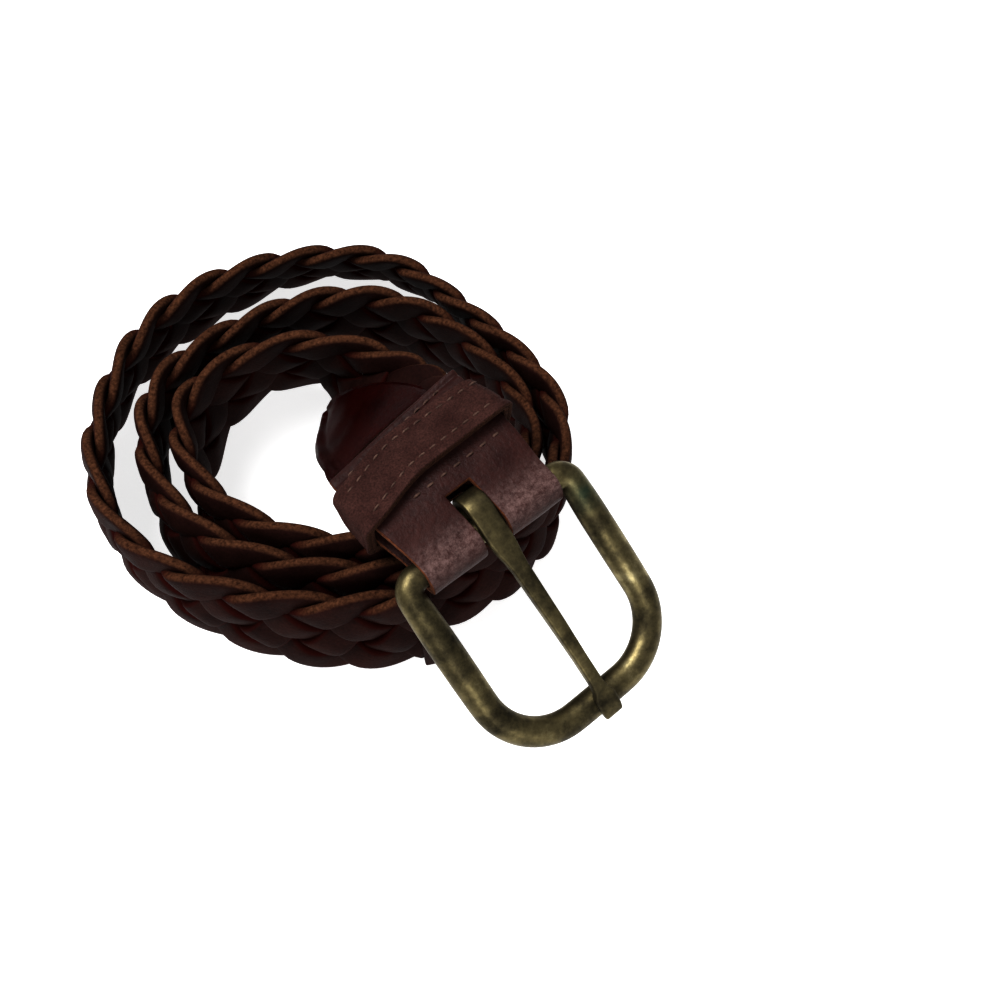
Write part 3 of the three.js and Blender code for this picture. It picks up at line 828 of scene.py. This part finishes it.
def leather(name, face_colors, cut_colors, gloss, shine, grain_size=1400.0, grain_depth=0.35,
            patch=90.0, speckle=0.2, shaded_cut=None, rubbed=None):
    """Leather with a patchy face and a rough paler cut side, each from a dark to a light color. A given
    rubbed colour, laid where the worn attribute is high, is partly real rubbing and partly painted
    highlight; a given darker colour for cut sides away from the top rim is painted shade.
    """
    mat, tree, shader = material(name)
    link = tree.links.new
    place = node(tree, "ShaderNodeTexCoord")
    cut = node(tree, "ShaderNodeAttribute", attribute_name="cut_side")
    broad = node(tree, "ShaderNodeTexNoise", Scale=patch, Detail=4.0, Roughness=0.6)
    link(place.outputs["Object"], broad.inputs["Vector"])
    grain = node(tree, "ShaderNodeTexNoise", Scale=grain_size, Detail=4.0, Roughness=0.65)
    link(place.outputs["Object"], grain.inputs["Vector"])
    face = ramp(tree, broad.outputs["Fac"], [(0.3, face_colors[0]), (0.72, face_colors[1])])
    side = ramp(tree, grain.outputs["Fac"], [(0.3, cut_colors[0]), (0.7, cut_colors[1])])
    # Painted shade: cut sides away from the top rim, down in the valleys between strips, take the darker
    # given colour.
    if shaded_cut is not None:
        rim = node(tree, "ShaderNodeAttribute", attribute_name="unshaded_top_rim")
        cut_with_painted_shade = node(tree, "ShaderNodeMix", data_type="RGBA", A=(*shaded_cut, 1))
        link(rim.outputs["Fac"], socket(cut_with_painted_shade, "Factor"))
        link(side.outputs["Color"], socket(cut_with_painted_shade, "B"))
        side_color = socket(cut_with_painted_shade, "Result", True)
    else:
        side_color = side.outputs["Color"]
    fleck = ramp(tree, grain.outputs["Fac"], [(0.32, (1 - speckle,) * 3), (0.68, (1 + speckle,) * 3)])
    flecked = node(tree, "ShaderNodeMix", data_type="RGBA", blend_type="MULTIPLY", Factor=1.0)
    link(face.outputs["Color"], socket(flecked, "A"))
    link(fleck.outputs["Color"], socket(flecked, "B"))
    face_color = socket(flecked, "Result", True)
    # Paler rubbed colour where the worn attribute is high: partly real rubbing, partly a painted
    # highlight on the fold's crest.
    if rubbed is not None:
        crest_wear_and_highlight = node(tree, "ShaderNodeAttribute", attribute_name="worn")
        wear_and_highlight_share = node(tree, "ShaderNodeMath", operation="MULTIPLY")
        scuff = node(tree, "ShaderNodeTexNoise", Scale=700.0, Detail=8.0, Roughness=0.85)
        link(place.outputs["Object"], scuff.inputs["Vector"])
        patches = ramp(tree, scuff.outputs["Fac"], [(0.40, (0.12, 0.12, 0.12)), (0.66, (1, 1, 1))])
        link(crest_wear_and_highlight.outputs["Fac"], wear_and_highlight_share.inputs[0])
        link(patches.outputs["Color"], wear_and_highlight_share.inputs[1])
        worn_and_highlit_face = node(tree, "ShaderNodeMix", data_type="RGBA", B=(*rubbed, 1))
        link(wear_and_highlight_share.outputs["Value"], socket(worn_and_highlit_face, "Factor"))
        link(face_color, socket(worn_and_highlit_face, "A"))
        face_color = socket(worn_and_highlit_face, "Result", True)
    mix = node(tree, "ShaderNodeMix", data_type="RGBA")
    link(cut.outputs["Fac"], socket(mix, "Factor"))
    link(face_color, socket(mix, "A"))
    link(side_color, socket(mix, "B"))
    link(socket(mix, "Result", True), shader.inputs["Base Color"])
    shader.inputs["Specular IOR Level"].default_value = shine
    worn = ramp(tree, broad.outputs["Fac"], [(0.25, (gloss, gloss, gloss)), (0.75, (gloss + 0.16,) * 3)])
    rough = node(tree, "ShaderNodeMix", data_type="RGBA", B=(0.92, 0.92, 0.92, 1))
    link(cut.outputs["Fac"], socket(rough, "Factor"))
    link(worn.outputs["Color"], socket(rough, "A"))
    link(socket(rough, "Result", True), shader.inputs["Roughness"])
    bump = node(tree, "ShaderNodeBump", Strength=grain_depth, Distance=0.0004)
    link(grain.outputs["Fac"], bump.inputs["Height"])
    link(bump.outputs["Normal"], shader.inputs["Normal"])
    return mat


def thread(name, dark, light):
    mat, tree, shader = material(name)
    link = tree.links.new
    place = node(tree, "ShaderNodeTexCoord")
    twist = node(tree, "ShaderNodeTexNoise", Scale=900.0, Detail=3.0)
    link(place.outputs["Object"], twist.inputs["Vector"])
    color = ramp(tree, twist.outputs["Fac"], [(0.35, dark), (0.65, light)])
    link(color.outputs["Color"], shader.inputs["Base Color"])
    shader.inputs["Roughness"].default_value = 0.85
    return mat


VERDIGRIS_AT = np.array([28.4, -42.8, 42.0])


def old_brass():
    """Dull brass: dark patina in patches, brighter where it is rubbed, a few specks of verdigris."""
    mat, tree, shader = material("old_brass")
    link = tree.links.new
    place = node(tree, "ShaderNodeTexCoord")
    broad = node(tree, "ShaderNodeTexNoise", Scale=110.0, Detail=6.0, Roughness=0.68)
    fine = node(tree, "ShaderNodeTexNoise", Scale=900.0, Detail=4.0, Roughness=0.7)
    specks = node(tree, "ShaderNodeTexNoise", Scale=140.0, Detail=2.0, W=3.0, noise_dimensions="4D")
    for source in (broad, fine, specks):
        link(place.outputs["Object"], source.inputs["Vector"])
    patina = ramp(tree, broad.outputs["Fac"], [
        (0.30, (0.030, 0.025, 0.015)), (0.44, (0.10, 0.084, 0.047)),
        (0.58, (0.20, 0.168, 0.090)), (0.74, (0.40, 0.35, 0.21)),
    ])
    grit = ramp(tree, fine.outputs["Fac"], [(0.3, (0.72, 0.72, 0.70)), (0.7, (1.0, 1.0, 1.0))])
    rubbed = node(tree, "ShaderNodeMix", data_type="RGBA", blend_type="MULTIPLY", Factor=1.0)
    link(patina.outputs["Color"], socket(rubbed, "A"))
    link(grit.outputs["Color"], socket(rubbed, "B"))
    spot = node(tree, "ShaderNodeVectorMath", operation="DISTANCE")
    link(place.outputs["Object"], spot.inputs[0])
    spot.inputs[1].default_value = VERDIGRIS_AT * MM
    ragged = node(tree, "ShaderNodeMath", operation="MULTIPLY_ADD")
    link(specks.outputs["Fac"], ragged.inputs[0])
    ragged.inputs[1].default_value = 0.004
    link(spot.outputs["Value"], ragged.inputs[2])
    green = ramp(tree, ragged.outputs["Value"], [(0.0028, (1, 1, 1)), (0.0042, (0, 0, 0))])
    mix = node(tree, "ShaderNodeMix", data_type="RGBA", B=(0.010, 0.075, 0.060, 1))
    link(green.outputs["Color"], socket(mix, "Factor"))
    link(socket(rubbed, "Result", True), socket(mix, "A"))
    link(socket(mix, "Result", True), shader.inputs["Base Color"])
    shader.inputs["Metallic"].default_value = 0.9
    rough = ramp(tree, broad.outputs["Fac"], [(0.3, (0.55, 0.55, 0.55)), (0.7, (0.36, 0.36, 0.36))])
    link(rough.outputs["Color"], shader.inputs["Roughness"])
    bump = node(tree, "ShaderNodeBump", Strength=0.25, Distance=0.0002)
    link(fine.outputs["Fac"], bump.inputs["Height"])
    link(bump.outputs["Normal"], shader.inputs["Normal"])
    return mat


# The braid's last colour is painted shade for the cut sides between strips, darker than those on the top
# rim.
BRAID_FINISH = leather(
    "braid_leather", ((0.015, 0.0044, 0.0036), (0.038, 0.0140, 0.0112)),
    ((0.029, 0.0115, 0.0062), (0.128, 0.060, 0.033)), gloss=0.55, shine=0.04,
    shaded_cut=(0.040, 0.006, 0.0045))
# The tab's rubbed colour is partly real rubbing and partly a painted highlight on the fold's crest.
TAB_FINISH = leather(
    "tab_leather", ((0.024, 0.0055, 0.0045), (0.052, 0.0165, 0.0135)),
    ((0.06, 0.016, 0.006), (0.20, 0.075, 0.030)), gloss=0.40, shine=0.24,
    grain_size=1100.0, grain_depth=0.5, patch=130.0, rubbed=(0.22, 0.145, 0.135))
TONGUE_FINISH = leather(
    "tongue_leather", ((0.012, 0.0006, 0.0005), (0.029, 0.0024, 0.0018)),
    ((0.02, 0.006, 0.004), (0.06, 0.025, 0.018)), gloss=0.30, shine=0.07,
    grain_size=1300.0, grain_depth=0.3, patch=110.0)
KEEPER_FINISH = leather(
    "keeper_leather", ((0.038, 0.0145, 0.0120), (0.073, 0.034, 0.0285)),
    ((0.016, 0.006, 0.004), (0.085, 0.038, 0.022)), gloss=0.7, shine=0.12,
    grain_size=2600.0, grain_depth=0.6, patch=160.0, speckle=0.42)
THREAD_FINISH = thread("waxed_thread", (0.050, 0.024, 0.017), (0.14, 0.082, 0.062))
BRASS_FINISH = old_brass()
for piece, finish in [
    (braid_strands, BRAID_FINISH), (tip_wrap, BRAID_FINISH),
    (tab_fold, TAB_FINISH), (tongue_glossy, TONGUE_FINISH), (keeper_ring, KEEPER_FINISH),
    (keeper_stitches, THREAD_FINISH), (tab_stitches, THREAD_FINISH),
    (brass_frame_piece, BRASS_FINISH), (brass_prong_piece, BRASS_FINISH),
]:
    piece.data.materials.clear()
    piece.data.materials.append(finish)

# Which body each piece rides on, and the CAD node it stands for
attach(braid_strands, "strap")
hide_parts("braided_strap")
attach(tip_wrap, "strap")
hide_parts("tip_binding")
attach(tab_fold, "strap")
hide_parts("tab_leather")
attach(tongue_glossy, "strap")
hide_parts("tongue_panel")
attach(keeper_ring, "strap")
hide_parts("keeper_loop")
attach(keeper_stitches, "strap")
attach(tab_stitches, "strap")
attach(brass_frame_piece, "frame")
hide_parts("buckle_frame")
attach(brass_prong_piece, "prong")
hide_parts("prong")


# Floor, light and camera
FLOOR_SIZE = 4.0
FLOOR_DROP = 0.0002

bpy.ops.mesh.primitive_plane_add(size=FLOOR_SIZE, location=(0, 0, -FLOOR_DROP))
floor = bpy.context.active_object
floor.name = "floor"
floor_mat, _, floor_shader = material("floor_white")
floor_shader.inputs["Base Color"].default_value = (0.6, 0.6, 0.6, 1)
floor_shader.inputs["Roughness"].default_value = 0.9
floor_shader.inputs["Specular IOR Level"].default_value = 0.0
floor_shader.inputs["Emission Color"].default_value = (1, 1, 1, 1)
floor_shader.inputs["Emission Strength"].default_value = 0.8
floor.data.materials.append(floor_mat)

world = bpy.data.worlds.new("studio")
bpy.context.scene.world = world
world.use_nodes = True
world.node_tree.nodes["Background"].inputs["Color"].default_value = (1, 1, 1, 1)
world.node_tree.nodes["Background"].inputs["Strength"].default_value = 0.5
bpy.context.scene.view_settings.view_transform = "Standard"
bpy.context.scene.view_settings.gamma = 0.68


def area_light(name, place, aim, size, power):
    data = bpy.data.lights.new(name, "AREA")
    data.shape = "SQUARE"
    data.size = size
    data.energy = power
    obj = bpy.data.objects.new(name, data)
    bpy.context.scene.collection.objects.link(obj)
    obj.location = place
    direction = np.array(aim) - np.array(place)
    flat = math.hypot(direction[0], direction[1])
    obj.rotation_euler = (math.atan2(flat, -direction[2]), 0, math.atan2(-direction[0], direction[1]))
    return obj


area_light("key", (-0.25, 0.25, 0.9), (0, 0, 0), 0.5, 12)
area_light("front", (-0.35, -0.8, 0.55), (0, 0, 0), 0.5, 4)

CAMERA_PLACE = (-0.0434, -0.1029, 0.226)
CAMERA_TILT = math.radians(26)
CAMERA_TURN = math.radians(-39.2)

camera_data = bpy.data.cameras.new("camera")
camera_data.lens = 36
camera_data.sensor_width = 36
camera = bpy.data.objects.new("camera", camera_data)
camera.location = CAMERA_PLACE
camera.rotation_euler = (CAMERA_TILT, 0, CAMERA_TURN)
camera_data.clip_start = 0.01
bpy.context.scene.collection.objects.link(camera)
bpy.context.scene.camera = camera
